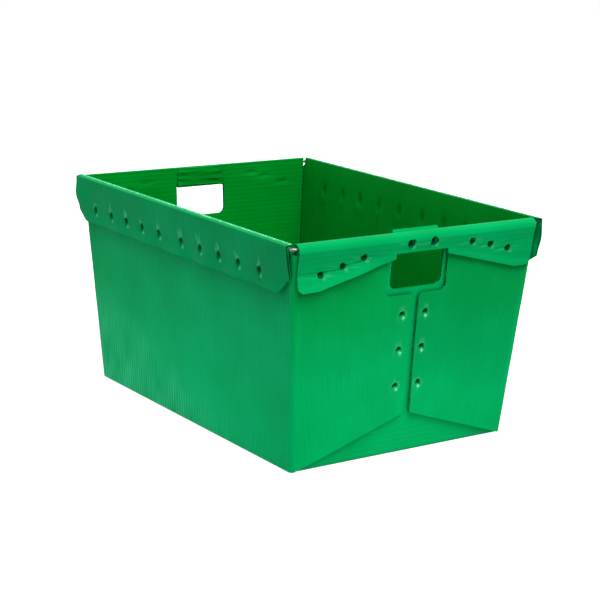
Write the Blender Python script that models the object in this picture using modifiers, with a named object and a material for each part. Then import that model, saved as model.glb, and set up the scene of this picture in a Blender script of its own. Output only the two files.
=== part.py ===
"""Open nesting tote folded from fluted plastic sheet, with a steel wire in its rim.

One blank of 4 mm twin-wall sheet is creased into a bottom, two long sides and two ends.
Each long side carries a corner flap at either end, wrapped round the outside of the end panel.
The top edges fold outwards and down over a wire hoop and are spot-welded below it.
The origin is on the floor under the middle; +X runs along the tote and +Z points up.
"""

import math

import bmesh
import bpy
from mathutils import Matrix, Vector

MM = 0.001
MERGE = 0.01 * MM

# Driving dimensions
SHEET = 4.0 * MM
GAP = 0.3 * MM
RIM_HEIGHT = 305.0 * MM
BASE_HALF_LENGTH = 243.0 * MM
BASE_HALF_WIDTH = 171.0 * MM
TOP_HALF_LENGTH = 268.5 * MM
TOP_HALF_WIDTH = 194.0 * MM

# Rim and wire
ROOF_UNDERSIDE = RIM_HEIGHT - SHEET
WIRE_DIAMETER = 4.6 * MM
WIRE_HEIGHT = 298.4 * MM
WIRE_BEND_RADIUS = 7.5 * MM
WIRE_OFFSET = 6.45 * MM
WIRE_NOTCH_HEIGHT = 294.5 * MM
WIRE_NOTCH_DEPTH = 7.0 * MM
FOLD_RADIUS = 2.2 * MM
FOLD_STEPS = 4

# Rim flange on a long side; its draw is how far it has come in from the fold at a height
SIDE_FLANGE_HALF = 272.5 * MM
SIDE_FLANGE_SHIFT = {"left": -4.5 * MM, "right": 3.5 * MM}
SIDE_FLANGE_DRAW = ((0.0, 298.4 * MM), (0.9 * MM, 288.0 * MM), (2.7 * MM, 272.0 * MM))
SIDE_PRESS_HALF = 3.0 * MM
SIDE_LIP_STEPS = (0.2 * MM, 0.6 * MM)
SIDE_FLANGE_LOW = 239.0 * MM
SIDE_CHAMFER_LENGTH = 24.0 * MM
SIDE_CHAMFER_HEIGHT = 15.0 * MM
SIDE_WELD_HEIGHT = 258.5 * MM
SIDE_WELD_START = 28.0 * MM
SIDE_WELD_STEP = 46.5 * MM
SIDE_WELD_SHIFT = {"left": -14.0 * MM, "right": 10.0 * MM}
SIDE_WELDS_PER_HALF = 5

# Rim flange on an end
END_FLANGE_HALF = 192.5 * MM
END_FLANGE_NOTCH_LOW = 272.0 * MM
END_FLANGE_CORNER_LOW = 243.0 * MM
END_FLANGE_CORNER_RADIUS = 13.0 * MM
END_FLANGE_PRESS_HEIGHT = 288.0 * MM
END_WELD_FIRST = 87.5 * MM
END_WELD_STEP = 32.0 * MM
END_WELDS_PER_HALF = 3
END_WELD_ABOVE_EDGE = 20.0 * MM
GRIP_WELD_SPACING = 37.0 * MM
GRIP_WELD_HEIGHT = 290.0 * MM

# Hand hole and the grip tab folded up inside it
HOLE_HALF_WIDTH = 42.0 * MM
HOLE_TOP = 279.8 * MM
HOLE_BOTTOM = 230.0 * MM
HOLE_CORNER = 11.0 * MM
TAB_HALF_WIDTH = 40.5 * MM
TAB_TOP = {"near": 309.0 * MM, "far": 304.0 * MM}
TAB_CORNER = 7.0 * MM
TAB_LEAD = 0.8 * MM

# Corner flaps
FLAP_TOP = 293.0 * MM
FLAP_GAP_HALF = 4.3 * MM
FLAP_CUTOUT_BOTTOM = 223.0 * MM
FLAP_CUTOUT_SIDE = {"left": 52.0 * MM, "right": 47.0 * MM}
FLAP_CUTOUT_CORNER = 9.0 * MM
FLAP_LOWER_MID = 56.0 * MM
FLAP_LOWER_CORNER = 2.0 * MM
FLAP_LEVEL = SHEET + GAP
FLAP_WELD_OFFSET = 18.5 * MM
FLAP_WELD_HEIGHTS = (97.0 * MM, 146.5 * MM, 195.0 * MM)

# Spot-weld dimples
WELD_DIAMETER = 9.0 * MM
GRIP_WELD_DIAMETER = 12.0 * MM
WELD_DEPTH = 3.0 * MM
WELD_TAPER = 0.2
WELD_SIDES = 14

END_TILT = math.atan2(TOP_HALF_LENGTH - BASE_HALF_LENGTH, RIM_HEIGHT)
SIDE_TILT = math.atan2(TOP_HALF_WIDTH - BASE_HALF_WIDTH, RIM_HEIGHT)

GREEN = (0.004, 0.30, 0.065, 1.0)
STEEL = (0.42, 0.42, 0.41, 1.0)


def clear_scene():
    """Remove every object that the file opened with."""
    for obj in list(bpy.data.objects):
        bpy.data.objects.remove(obj, do_unlink=True)


def new_collection(name):
    """Make a collection linked to the scene."""
    collection = bpy.data.collections.new(name)
    bpy.context.scene.collection.children.link(collection)
    return collection


def new_material(name, colour, roughness, metallic):
    """Make a Principled material."""
    material = bpy.data.materials.new(name)
    material.use_nodes = True
    shader = material.node_tree.nodes["Principled BSDF"]
    shader.inputs["Base Color"].default_value = colour
    shader.inputs["Roughness"].default_value = roughness
    shader.inputs["Metallic"].default_value = metallic
    material.diffuse_color = colour
    return material


clear_scene()
PARTS = new_collection("tote")
CUTTERS = new_collection("cutters")


def half_length(height):
    """Inner half length of the tote at a height."""
    return BASE_HALF_LENGTH + height * math.tan(END_TILT)


def half_width(height):
    """Inner half width of the tote at a height."""
    return BASE_HALF_WIDTH + height * math.tan(SIDE_TILT)


class Wall:
    """One sloping wall: u runs level along it, v runs up its inner face and n points outwards."""

    def __init__(self, turn, base_half, tilt):
        self.tilt = tilt
        to_wall = Matrix(((0, 0, 1), (1, 0, 0), (0, 1, 0))).to_4x4()
        lean = Matrix.Rotation(tilt, 4, "Y")
        place = Matrix.Translation((base_half, 0, 0))
        self.matrix = Matrix.Rotation(turn, 4, "Z") @ place @ lean @ to_wall

    def up(self, height):
        """Distance v up the inner face to a height."""
        return height / math.cos(self.tilt)

    def point(self, u, level, height):
        """Local point at a level distance outwards from the inner face, at a height."""
        v = height / math.cos(self.tilt) + level * math.sin(self.tilt)
        return Vector((u, v, level * math.cos(self.tilt)))


ENDS = {
    "near": Wall(0.0, BASE_HALF_LENGTH, END_TILT),
    "far": Wall(math.pi, BASE_HALF_LENGTH, END_TILT),
}
SIDES = {
    "left": Wall(-math.pi / 2, BASE_HALF_WIDTH, SIDE_TILT),
    "right": Wall(math.pi / 2, BASE_HALF_WIDTH, SIDE_TILT),
}
# Which way +X runs along u on each long side
ALONG_X = {"left": 1, "right": -1}


def rounded(points, radii, steps=6):
    """Outline with each corner replaced by an arc of its own radius; 0 keeps it sharp."""
    result = []
    count = len(points)
    for index, (point, radius) in enumerate(zip(points, radii)):
        corner = Vector(point)
        if radius <= 0:
            result.append(corner)
            continue
        before = (Vector(points[index - 1]) - corner).normalized()
        after = (Vector(points[(index + 1) % count]) - corner).normalized()
        half_angle = before.angle(after) / 2
        reach = radius / math.tan(half_angle)
        centre = corner + (before + after).normalized() * (radius / math.sin(half_angle))
        start = corner + before * reach - centre
        sweep = start.angle_signed(corner + after * reach - centre)
        for step in range(steps + 1):
            turn = Matrix.Rotation(-sweep * step / steps, 2)
            result.append(centre + turn @ start)
    return result


def mesh_from_curve(curve_object, name, matrix):
    """Turn a filled curve into a welded mesh object in the parts collection."""
    PARTS.objects.link(curve_object)
    bpy.context.view_layer.update()
    evaluated = curve_object.evaluated_get(bpy.context.evaluated_depsgraph_get())
    mesh = bpy.data.meshes.new_from_object(evaluated)
    mesh.name = name
    bpy.data.objects.remove(curve_object, do_unlink=True)
    model = bmesh.new()
    model.from_mesh(mesh)
    bmesh.ops.remove_doubles(model, verts=model.verts, dist=MERGE)
    bmesh.ops.recalc_face_normals(model, faces=model.faces)
    model.to_mesh(mesh)
    model.free()
    obj = bpy.data.objects.new(name, mesh)
    obj.matrix_world = matrix
    PARTS.objects.link(obj)
    return obj


def plate(name, outlines, wall_matrix, inner_level):
    """Flat sheet cut to the outlines; the first is its edge and the rest are holes in it."""
    curve = bpy.data.curves.new(name + "_outline", "CURVE")
    curve.dimensions = "2D"
    curve.fill_mode = "BOTH"
    curve.extrude = SHEET / 2
    for outline in outlines:
        spline = curve.splines.new("POLY")
        spline.points.add(len(outline) - 1)
        for target, point in zip(spline.points, outline):
            target.co = (point[0], point[1], 0, 1)
        spline.use_cyclic_u = True
    middle = Matrix.Translation((0, 0, inner_level + SHEET / 2))
    obj = bpy.data.objects.new(name + "_outline", curve)
    return mesh_from_curve(obj, name, wall_matrix @ middle)


def folded_sheet(name, matrix, columns, rows, surface):
    """Sheet whose outer skin is surface(column, row), thickened inwards by the sheet."""
    model = bmesh.new()
    grid = [[model.verts.new(surface(column, row)) for row in rows] for column in columns]
    for here, there in zip(grid, grid[1:]):
        for low, high in zip(range(len(rows)), range(1, len(rows))):
            model.faces.new((here[low], here[high], there[high], there[low]))
    mesh = bpy.data.meshes.new(name)
    model.to_mesh(mesh)
    model.free()
    obj = bpy.data.objects.new(name, mesh)
    obj.matrix_world = matrix
    PARTS.objects.link(obj)
    thickness = obj.modifiers.new("sheet", "SOLIDIFY")
    thickness.thickness = SHEET
    thickness.offset = -1.0
    thickness.use_even_offset = True
    return obj


def cut(obj, cutter):
    """Subtract a cutter, which stays hidden in the cutters collection."""
    cutter.hide_render = True
    cutter.display_type = "WIRE"
    boolean = obj.modifiers.new("cut_" + cutter.name, "BOOLEAN")
    boolean.operation = "DIFFERENCE"
    boolean.object = cutter


def dimple_cutter(name, matrix, places, diameter):
    """Cutter of one short cone per spot weld; each place is the centre of its mouth."""
    model = bmesh.new()
    for place in places:
        bmesh.ops.create_cone(
            model,
            cap_ends=True,
            segments=WELD_SIDES,
            radius1=diameter * (0.5 - WELD_TAPER),
            radius2=diameter * (0.5 + WELD_TAPER),
            depth=2 * WELD_DEPTH,
            matrix=Matrix.Translation(place),
        )
    mesh = bpy.data.meshes.new(name)
    model.to_mesh(mesh)
    model.free()
    cutter = bpy.data.objects.new(name, mesh)
    cutter.matrix_world = matrix
    CUTTERS.objects.link(cutter)
    return cutter


def box_cutter(name, matrix, low, high):
    """Box cutter between two local corners."""
    low = Vector(low)
    high = Vector(high)
    size = high - low
    model = bmesh.new()
    bmesh.ops.create_cube(model, size=1.0)
    bmesh.ops.scale(model, vec=size, verts=model.verts)
    bmesh.ops.translate(model, vec=(low + high) / 2, verts=model.verts)
    mesh = bpy.data.meshes.new(name)
    model.to_mesh(mesh)
    model.free()
    cutter = bpy.data.objects.new(name, mesh)
    cutter.matrix_world = matrix
    CUTTERS.objects.link(cutter)
    return cutter


def bottom_panel():
    """Flat bottom between the feet of the four walls."""
    x = BASE_HALF_LENGTH - GAP
    y = BASE_HALF_WIDTH - GAP
    outline = [(-x, -y), (x, -y), (x, y), (-x, y)]
    return plate("bottom_panel", [outline], Matrix.Identity(4), 0.0)


def wall_outline(wall, half_at, top, notch):
    """Trapezoid up a wall, with its top corners cut back where the wire turns."""
    foot = SHEET * math.tan(wall.tilt)
    shoulder = wall.up(WIRE_NOTCH_HEIGHT)
    low = half_at(0)
    waist = half_at(WIRE_NOTCH_HEIGHT)
    crown = half_at(top)
    right = [
        (low, foot),
        (waist, shoulder),
        (waist - notch, shoulder),
        (crown - notch, wall.up(top)),
    ]
    left = [(-u, v) for u, v in reversed(right)]
    return right + left


def side_panel(which):
    """Long side wall, from the bottom crease to the rim crease."""
    wall = SIDES[which]

    def half_at(height):
        return half_length(height) + SHEET

    outline = wall_outline(wall, half_at, ROOF_UNDERSIDE - GAP, WIRE_NOTCH_DEPTH)
    return plate("side_panel_" + which, [outline], wall.matrix, 0.0)


def end_panel(which):
    """End wall with its hand hole, standing between the long sides."""
    wall = ENDS[which]

    def half_at(height):
        return half_width(height) - GAP

    outline = wall_outline(wall, half_at, ROOF_UNDERSIDE - GAP, WIRE_NOTCH_DEPTH)
    low = wall.up(HOLE_BOTTOM)
    high = wall.up(HOLE_TOP)
    corners = [
        (-HOLE_HALF_WIDTH, low),
        (HOLE_HALF_WIDTH, low),
        (HOLE_HALF_WIDTH, high),
        (-HOLE_HALF_WIDTH, high),
    ]
    hole = rounded(corners, (HOLE_CORNER, HOLE_CORNER, 0, 0))
    return plate("end_panel_" + which, [outline, hole], wall.matrix, 0.0)


def corner_flap(end, hand):
    """Flap that wraps round the corner and covers half of the end panel's outside."""
    wall = ENDS[end]
    sign = -1 if hand == "left" else 1
    cutout = FLAP_CUTOUT_SIDE[hand]

    def corner(height):
        return half_width(height) + SHEET

    points = [
        (FLAP_GAP_HALF, wall.up(FLAP_LOWER_MID + 2 * SHEET)),
        (FLAP_GAP_HALF + 2 * SHEET, wall.up(FLAP_LOWER_MID)),
        (corner(FLAP_LOWER_CORNER), wall.up(FLAP_LOWER_CORNER)),
        (corner(FLAP_TOP), wall.up(FLAP_TOP)),
        (cutout, wall.up(FLAP_TOP)),
        (cutout, wall.up(FLAP_CUTOUT_BOTTOM)),
        (FLAP_GAP_HALF, wall.up(FLAP_CUTOUT_BOTTOM)),
    ]
    radii = (2 * SHEET, 2 * SHEET, 0, 0, 0, FLAP_CUTOUT_CORNER, FLAP_CUTOUT_CORNER)
    outline = [(sign * point[0], point[1]) for point in rounded(points, radii)]
    name = "corner_flap_" + end + "_" + hand
    flap = plate(name, [outline], wall.matrix, FLAP_LEVEL)
    outer = FLAP_LEVEL + SHEET
    places = [(sign * FLAP_WELD_OFFSET, wall.up(height), outer) for height in FLAP_WELD_HEIGHTS]
    cut(flap, dimple_cutter(name + "_welds", wall.matrix, places, WELD_DIAMETER))
    return flap


def fold_profile(outer_level, wall_points):
    """Outer skin of a rim fold: level roof, rounded shoulder, then the wall points."""
    points = [(0.0, RIM_HEIGHT)]
    centre = (outer_level - FOLD_RADIUS, RIM_HEIGHT - FOLD_RADIUS)
    for step in range(FOLD_STEPS + 1):
        angle = math.pi / 2 * (1 - step / FOLD_STEPS)
        points.append((
            centre[0] + FOLD_RADIUS * math.cos(angle),
            centre[1] + FOLD_RADIUS * math.sin(angle),
        ))
    return points + wall_points


def side_rim_flange(which):
    """Folded rim of a long side, hugging the wire above and the panel at the weld line."""
    wall = SIDES[which]
    clear = GAP + WIRE_OFFSET + WIRE_DIAMETER / 2 + SHEET
    pressed = SHEET + GAP + SHEET
    chamfer_top = SIDE_FLANGE_LOW + SIDE_CHAMFER_HEIGHT
    profile = fold_profile(clear, [(clear - draw, height) for draw, height in SIDE_FLANGE_DRAW])
    profile += [
        (pressed + SIDE_LIP_STEPS[0], SIDE_WELD_HEIGHT + SIDE_PRESS_HALF),
        (pressed, SIDE_WELD_HEIGHT - SIDE_PRESS_HALF),
        (pressed + SIDE_LIP_STEPS[0], chamfer_top - 2 * MM),
        (pressed + SIDE_LIP_STEPS[1], SIDE_FLANGE_LOW),
    ]
    inset = SIDE_FLANGE_HALF - SIDE_CHAMFER_LENGTH - 0.5 * MM
    columns = (-SIDE_FLANGE_HALF, -inset, 0.0, inset, SIDE_FLANGE_HALF)

    def surface(u, row):
        level, height = profile[row]
        if abs(u) == SIDE_FLANGE_HALF:
            drop = max(0.0, chamfer_top - height)
            u -= math.copysign(SIDE_CHAMFER_LENGTH * drop / SIDE_CHAMFER_HEIGHT, u)
        return wall.point(u + SIDE_FLANGE_SHIFT[which] * ALONG_X[which], level, height)

    name = "side_rim_flange_" + which
    flange = folded_sheet(name, wall.matrix, columns, range(len(profile)), surface)
    places = []
    for index in range(SIDE_WELDS_PER_HALF):
        distance = SIDE_WELD_START + index * SIDE_WELD_STEP
        for side in (-1, 1):
            u = side * distance + SIDE_WELD_SHIFT[which] * ALONG_X[which]
            places.append(wall.point(u, pressed, SIDE_WELD_HEIGHT))
    cut(flange, dimple_cutter(name + "_welds", wall.matrix, places, WELD_DIAMETER))
    return flange


def end_flange_low(u):
    """Height of an end flange's lower edge: it slopes down from the hand hole to the corner."""
    reach = END_FLANGE_HALF - HOLE_HALF_WIDTH
    along = max(0.0, abs(u) - HOLE_HALF_WIDTH) / reach
    low = END_FLANGE_NOTCH_LOW + (END_FLANGE_CORNER_LOW - END_FLANGE_NOTCH_LOW) * along
    into_corner = abs(u) - (END_FLANGE_HALF - END_FLANGE_CORNER_RADIUS)
    if into_corner > 0:
        radius = END_FLANGE_CORNER_RADIUS
        low += radius - math.sqrt(max(0.0, radius * radius - into_corner * into_corner))
    return low


def end_rim_flange(which):
    """Folded rim of an end, over the wire and the corner flaps, notched at the hand hole."""
    wall = ENDS[which]
    clear = GAP + WIRE_OFFSET + WIRE_DIAMETER / 2 + SHEET
    pressed = 3 * SHEET + 2 * GAP
    profile = fold_profile(clear, [
        (clear, WIRE_HEIGHT),
        (pressed + 0.1 * MM, END_FLANGE_PRESS_HEIGHT),
    ])
    corner = END_FLANGE_HALF - END_FLANGE_CORNER_RADIUS
    halves = [HOLE_HALF_WIDTH]
    for angle in range(0, 91, 15):
        halves.append(corner + END_FLANGE_CORNER_RADIUS * math.sin(math.radians(angle)))
    columns = sorted([-u for u in halves] + halves)
    rows = range(len(profile) + 1)

    def surface(u, row):
        if row < len(profile):
            return wall.point(u, *profile[row])
        return wall.point(u, pressed, end_flange_low(u))

    name = "end_rim_flange_" + which
    flange = folded_sheet(name, wall.matrix, columns, rows, surface)
    low = (-HOLE_HALF_WIDTH, wall.up(HOLE_BOTTOM), SHEET)
    high = (HOLE_HALF_WIDTH, wall.up(HOLE_TOP), 5 * SHEET)
    cut(flange, box_cutter(name + "_notch", wall.matrix, low, high))
    places = []
    for index in range(END_WELDS_PER_HALF):
        distance = END_WELD_FIRST + index * END_WELD_STEP
        height = end_flange_low(distance) + END_WELD_ABOVE_EDGE
        for u in (-distance, distance):
            places.append(wall.point(u, pressed, height))
    cut(flange, dimple_cutter(name + "_welds", wall.matrix, places, WELD_DIAMETER))
    places = [wall.point(u * GRIP_WELD_SPACING / 2, pressed, GRIP_WELD_HEIGHT) for u in (-1, 1)]
    cut(flange, dimple_cutter(name + "_grip_welds", wall.matrix, places, GRIP_WELD_DIAMETER))
    return flange


def grip_tab(which):
    """Tab left by the hand hole, turned in under its top edge and folded up on the inside."""
    wall = ENDS[which]
    fold = SHEET + GAP / 2
    start = wall.up(HOLE_TOP) - GAP
    centre = (start - TAB_LEAD, -GAP / 2)
    top = wall.up(TAB_TOP[which])
    corner = TAB_HALF_WIDTH - TAB_CORNER
    turns = [math.radians(angle) for angle in range(0, 181, 20)]
    profile = [(TAB_HALF_WIDTH, start, centre[1] + fold)]
    profile += [
        (TAB_HALF_WIDTH, centre[0] - fold * math.sin(turn), centre[1] + fold * math.cos(turn))
        for turn in turns
    ]
    for angle in (0, 30, 60, 90):
        turn = math.radians(angle)
        half = corner + TAB_CORNER * math.cos(turn)
        profile.append((half, top - TAB_CORNER * (1 - math.sin(turn)), centre[1] - fold))

    def surface(side, row):
        half, v, n = profile[row]
        return Vector((side * half, v, n))

    return folded_sheet("grip_tab_" + which, wall.matrix, (-1, 1), range(len(profile)), surface)


def rim_wire():
    """Closed hoop of round steel wire inside the folded rim."""
    x = half_length(WIRE_HEIGHT) + WIRE_OFFSET
    y = half_width(WIRE_HEIGHT) + WIRE_OFFSET
    corners = [(-x, -y), (x, -y), (x, y), (-x, y)]
    path = rounded(corners, [WIRE_BEND_RADIUS] * 4, steps=5)
    curve = bpy.data.curves.new("rim_wire_path", "CURVE")
    curve.dimensions = "3D"
    curve.bevel_depth = WIRE_DIAMETER / 2
    curve.bevel_resolution = 2
    spline = curve.splines.new("POLY")
    spline.points.add(len(path) - 1)
    for target, point in zip(spline.points, path):
        target.co = (point[0], point[1], WIRE_HEIGHT, 1)
    spline.use_cyclic_u = True
    obj = bpy.data.objects.new("rim_wire_path", curve)
    wire = mesh_from_curve(obj, "rim_wire", Matrix.Identity(4))
    wire.data.shade_smooth()
    return wire


def build():
    """Make every piece and give it its material."""
    green = [bottom_panel()]
    for which in SIDES:
        green += [side_panel(which), side_rim_flange(which)]
    for which in ENDS:
        green += [end_panel(which), end_rim_flange(which), grip_tab(which)]
        green += [corner_flap(which, hand) for hand in ("left", "right")]
    for piece in green:
        piece.data.materials.clear()
        piece.data.materials.append(new_material(piece.name + "_sheet", GREEN, 0.45, 0.0))
    wire = rim_wire()
    wire.data.materials.clear()
    wire.data.materials.append(new_material("rim_wire_steel", STEEL, 0.35, 1.0))


build()
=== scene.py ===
"""Looks of the open fluted-plastic tote.

Every panel is cut to its outline while flat, and then a shape function bends it into its place.
Most panels are twin-wall sheet with ribs and hollow flutes. The long sides and the bottom, whose
cut ends are covered, are closed sheet with the same fluted surface.
On a flat sheet, a runs along the tote's rim, b runs up from the floor and over the rim fold, and
n is the depth from the skin that faces the inside of the tote, which is outermost past the fold.
"""

import math
import random

import bmesh
import bpy
import numpy as np
from mathutils import Matrix, Vector


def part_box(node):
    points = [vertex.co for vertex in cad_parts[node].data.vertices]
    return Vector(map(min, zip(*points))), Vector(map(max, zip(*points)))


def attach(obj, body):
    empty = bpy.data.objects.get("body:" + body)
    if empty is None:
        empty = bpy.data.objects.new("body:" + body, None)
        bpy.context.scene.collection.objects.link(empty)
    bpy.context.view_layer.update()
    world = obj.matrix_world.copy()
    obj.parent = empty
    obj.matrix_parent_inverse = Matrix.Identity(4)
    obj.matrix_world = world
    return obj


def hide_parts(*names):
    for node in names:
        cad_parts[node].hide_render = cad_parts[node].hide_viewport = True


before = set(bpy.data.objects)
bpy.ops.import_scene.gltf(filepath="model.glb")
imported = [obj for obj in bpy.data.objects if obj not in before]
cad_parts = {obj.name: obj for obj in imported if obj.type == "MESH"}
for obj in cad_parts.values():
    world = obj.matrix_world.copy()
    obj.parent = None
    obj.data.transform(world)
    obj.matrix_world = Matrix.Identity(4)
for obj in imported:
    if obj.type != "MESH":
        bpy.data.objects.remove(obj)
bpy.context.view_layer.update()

MM = 0.001

# Sizes taken from the frame
GAP = 0.3 * MM
bottom_low, bottom_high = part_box("bottom_panel")
wire_low, wire_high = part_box("rim_wire")
SHEET = bottom_high.z
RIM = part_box("side_rim_flange_left")[1].z
BASE_HALF_LENGTH = bottom_high.x + GAP
BASE_HALF_WIDTH = bottom_high.y + GAP
WIRE_RADIUS = (wire_high.z - wire_low.z) / 2
WIRE_HEIGHT = (wire_high.z + wire_low.z) / 2
WIRE_OFFSET = 6.45 * MM
WIRE_BEND = 7.5 * MM
WIRE_X = wire_high.x - WIRE_RADIUS
WIRE_Y = wire_high.y - WIRE_RADIUS
END_SLOPE = (WIRE_X - WIRE_OFFSET - BASE_HALF_LENGTH) / WIRE_HEIGHT
SIDE_SLOPE = (WIRE_Y - WIRE_OFFSET - BASE_HALF_WIDTH) / WIRE_HEIGHT
END_TILT = math.atan(END_SLOPE)
SIDE_TILT = math.atan(SIDE_SLOPE)

# Fluted sheet
PITCH = 6.6 * MM
RIB = 0.55 * MM
SKIN = 0.45 * MM
SAG = 0.18 * MM
CELL_STEPS = 3
FINE_CELL_STEPS = 8
SMOOTH_BELOW = 38

# Folds
QUARTER = math.pi / 2
CREASE_INSIDE = 0.4 * MM
CREASE_STEPS = 6
BULLNOSE_STEPS = 16
WIRE_CLEARANCE = 0.2 * MM
CORNER_INSIDE = 2.5 * MM
FOOT_RADIUS = 3.0 * MM
ROOF_REACH = WIRE_OFFSET + WIRE_RADIUS + GAP + SHEET
SIDE_PRESSED = 2 * SHEET + GAP
END_PRESSED = 3 * SHEET + 2 * GAP

# Spot welds: radius, depth, share by which the lower part is shallower, and height over width
SIDE_WELD = (5.3 * MM, 4.4 * MM, 0.35, 1.4)
END_WELD = (5.4 * MM, 6.4 * MM, 0.1, 1.0)
GRIP_WELD = (6.8 * MM, 7.6 * MM, 0.1, 1.0)
FLAP_WELD = (4.6 * MM, 3.9 * MM, 0.65, 1.2)
WELD_SIDES = 24

# Hand hole and grip tab
HOLE_HALF = 42.0 * MM
HOLE_LOW = 230.0 * MM
HOLE_TOP = 279.8 * MM
HOLE_CORNER = 10.0 * MM
TAB_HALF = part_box("grip_tab_near")[1].y
TAB_CORNER = 7.0 * MM
TAB_LEAD = 0.8 * MM

# Corner flaps
FLAP_TOP = 293.0 * MM
FLAP_INNER = SHEET + GAP


# ------------------------------------------------------------------ flat sheet

def soft_noise(seed, size, count=9):
    """Smooth pattern between about -1 and 1 whose lumps are about the given size."""
    luck = random.Random(seed)
    waves = []
    for _ in range(count):
        angle = luck.uniform(0, math.pi)
        rate = math.tau / (size * luck.uniform(1.2, 3.0))
        waves.append((rate * math.cos(angle), rate * math.sin(angle), luck.uniform(0, math.tau)))

    def pattern(a, b):
        total = 0.0
        for rate_a, rate_b, phase in waves:
            total = total + np.sin(rate_a * a + rate_b * b + phase)
        return total / math.sqrt(count)

    return pattern


def bump(distance, width):
    """Smooth hill of height 1 that fades over a width."""
    return np.exp(-(distance / width) ** 2)


def steps_between(low, high, coarse, zones=()):
    """Places from low to high, closer together in the zones (low, high, step)."""
    places = [low]
    while places[-1] < high:
        here = places[-1]
        there = here + coarse
        for zone_low, zone_high, fine in zones:
            if zone_low - 1e-9 <= here < zone_high:
                there = min(there, here + fine)
            elif here < zone_low < there:
                there = zone_low
        places.append(there)
    return np.array(places)


def flute_cells(low, high, fine=()):
    """Columns across the flutes, and the first and last column of every hollow cell."""
    first = math.floor(low / PITCH)
    last = math.ceil(high / PITCH)
    places = [first * PITCH - RIB / 2]
    cells = []
    for rib in range(first, last):
        start = rib * PITCH + RIB / 2
        count = CELL_STEPS
        for zone_low, zone_high in fine:
            if start < zone_high and start + PITCH > zone_low:
                count = FINE_CELL_STEPS
        cells.append((len(places), len(places) + count))
        places += [start + (PITCH - RIB) * step / count for step in range(count + 1)]
    places.append(last * PITCH + RIB / 2)
    return np.array(places), cells


def sparse(along):
    """Numbers of the rows that a hidden channel needs: all in the folds and few elsewhere."""
    kept = [0]
    for row in range(1, len(along) - 1):
        if along[row + 1] - along[kept[-1]] > 14 * MM or along[row] - along[row - 1] < 1.3 * MM:
            kept.append(row)
    return kept + [len(along) - 1]


def flat_sheet(across, cells, along, seed, hollow=True):
    """Closed twin-wall sheet in flat coordinates (across, along, depth), hollow between its ribs."""
    luck = random.Random(seed)
    columns, rows = len(across), len(along)
    sags = np.zeros((2, columns, rows))
    for start, end in cells:
        share = np.arange(end - start + 1) / (end - start)
        arch = np.sin(math.pi * share)[:, None]
        for skin in (0, 1):
            sags[skin, start:end + 1] = arch * SAG * luck.uniform(0.5, 1.5)
    grid_across, grid_along = np.meshgrid(across, along, indexing="ij")
    outer = np.stack([grid_across, grid_along, SHEET - sags[0]], axis=-1)
    inner = np.stack([grid_across, grid_along, sags[1]], axis=-1)
    points = [outer.reshape(-1, 3), inner.reshape(-1, 3)]
    count = columns * rows
    c, r = np.meshgrid(np.arange(columns - 1), np.arange(rows - 1), indexing="ij")
    at = (c * rows + r).ravel()
    skin = np.stack([at, at + 1, at + rows + 1, at + rows], axis=1)
    blocks = [skin, skin + count]
    for column in (0, columns - 1):
        at = column * rows + np.arange(rows - 1)
        blocks.append(np.stack([at, at + count, at + count + 1, at + 1], axis=1))
    if not hollow:
        for row in (0, rows - 1):
            at = np.arange(columns - 1) * rows + row
            blocks.append(np.stack([at, at + count, at + count + rows, at + rows], axis=1))
        return np.concatenate(points), [tuple(face) for block in blocks for face in block.tolist()]
    kept = sparse(along)
    size = len(kept)
    channels = {}
    first = 2 * count
    for number, (start, end) in enumerate(cells):
        corners = ((start, SHEET - SKIN), (start, SKIN), (end, SKIN), (end, SHEET - SKIN))
        for place, (column, depth) in enumerate(corners):
            line = [np.full(size, across[column]), along[kept], np.full(size, depth)]
            points.append(np.stack(line, axis=1))
            channels[number, place] = first
            first += size
        for place in range(4):
            one = channels[number, place] + np.arange(size - 1)
            two = channels[number, (place + 1) % 4] + np.arange(size - 1)
            blocks.append(np.stack([one, two, two + 1, one + 1], axis=1))
    faces = [tuple(face) for block in blocks for face in block.tolist()]
    ribs = [(0, cells[0][0])]
    ribs += [(before[1], after[0]) for before, after in zip(cells, cells[1:])]
    ribs += [(cells[-1][1], columns - 1)]
    for row, end_row in ((0, 0), (rows - 1, size - 1)):
        for number, (left, right) in enumerate(ribs):
            loop = [left * rows + row, right * rows + row]
            if number < len(cells):
                loop += [channels[number, 0] + end_row, channels[number, 1] + end_row]
            loop += [right * rows + row + count, left * rows + row + count]
            if number > 0:
                loop += [channels[number - 1, 2] + end_row, channels[number - 1, 3] + end_row]
            faces.append(tuple(loop))
        for number, (start, end) in enumerate(cells):
            top = [column * rows + row for column in range(start, end + 1)]
            under = [index + count for index in top]
            faces.append(tuple(top + [channels[number, 3] + end_row, channels[number, 0] + end_row]))
            faces.append(tuple(under + [channels[number, 2] + end_row, channels[number, 1] + end_row]))
    return np.concatenate(points), faces


def rounded(points, radii, steps=8):
    """Outline with its corners replaced by arcs; a radius of 0 keeps a corner sharp."""
    result = []
    for index, (point, radius) in enumerate(zip(points, radii)):
        corner = Vector(point)
        if radius <= 0:
            result.append(tuple(corner))
            continue
        before = (Vector(points[index - 1]) - corner).normalized()
        after = (Vector(points[(index + 1) % len(points)]) - corner).normalized()
        half_angle = before.angle(after) / 2
        reach = radius / math.tan(half_angle)
        centre = corner + (before + after).normalized() * (radius / math.sin(half_angle))
        start = corner + before * reach - centre
        sweep = start.angle_signed(corner + after * reach - centre)
        for step in range(steps + 1):
            turn = Matrix.Rotation(-sweep * step / steps, 2)
            result.append(tuple(centre + turn @ start))
    return result


def circle(centre, radius, sides=WELD_SIDES, tall=1.0):
    """Round outline, or an oval where its height over its width isn't 1."""
    x, y = centre
    turns = [math.tau * side / sides for side in range(sides)]
    return [(x + radius * math.cos(t), y + radius * math.sin(t) * tall) for t in turns]


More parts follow.
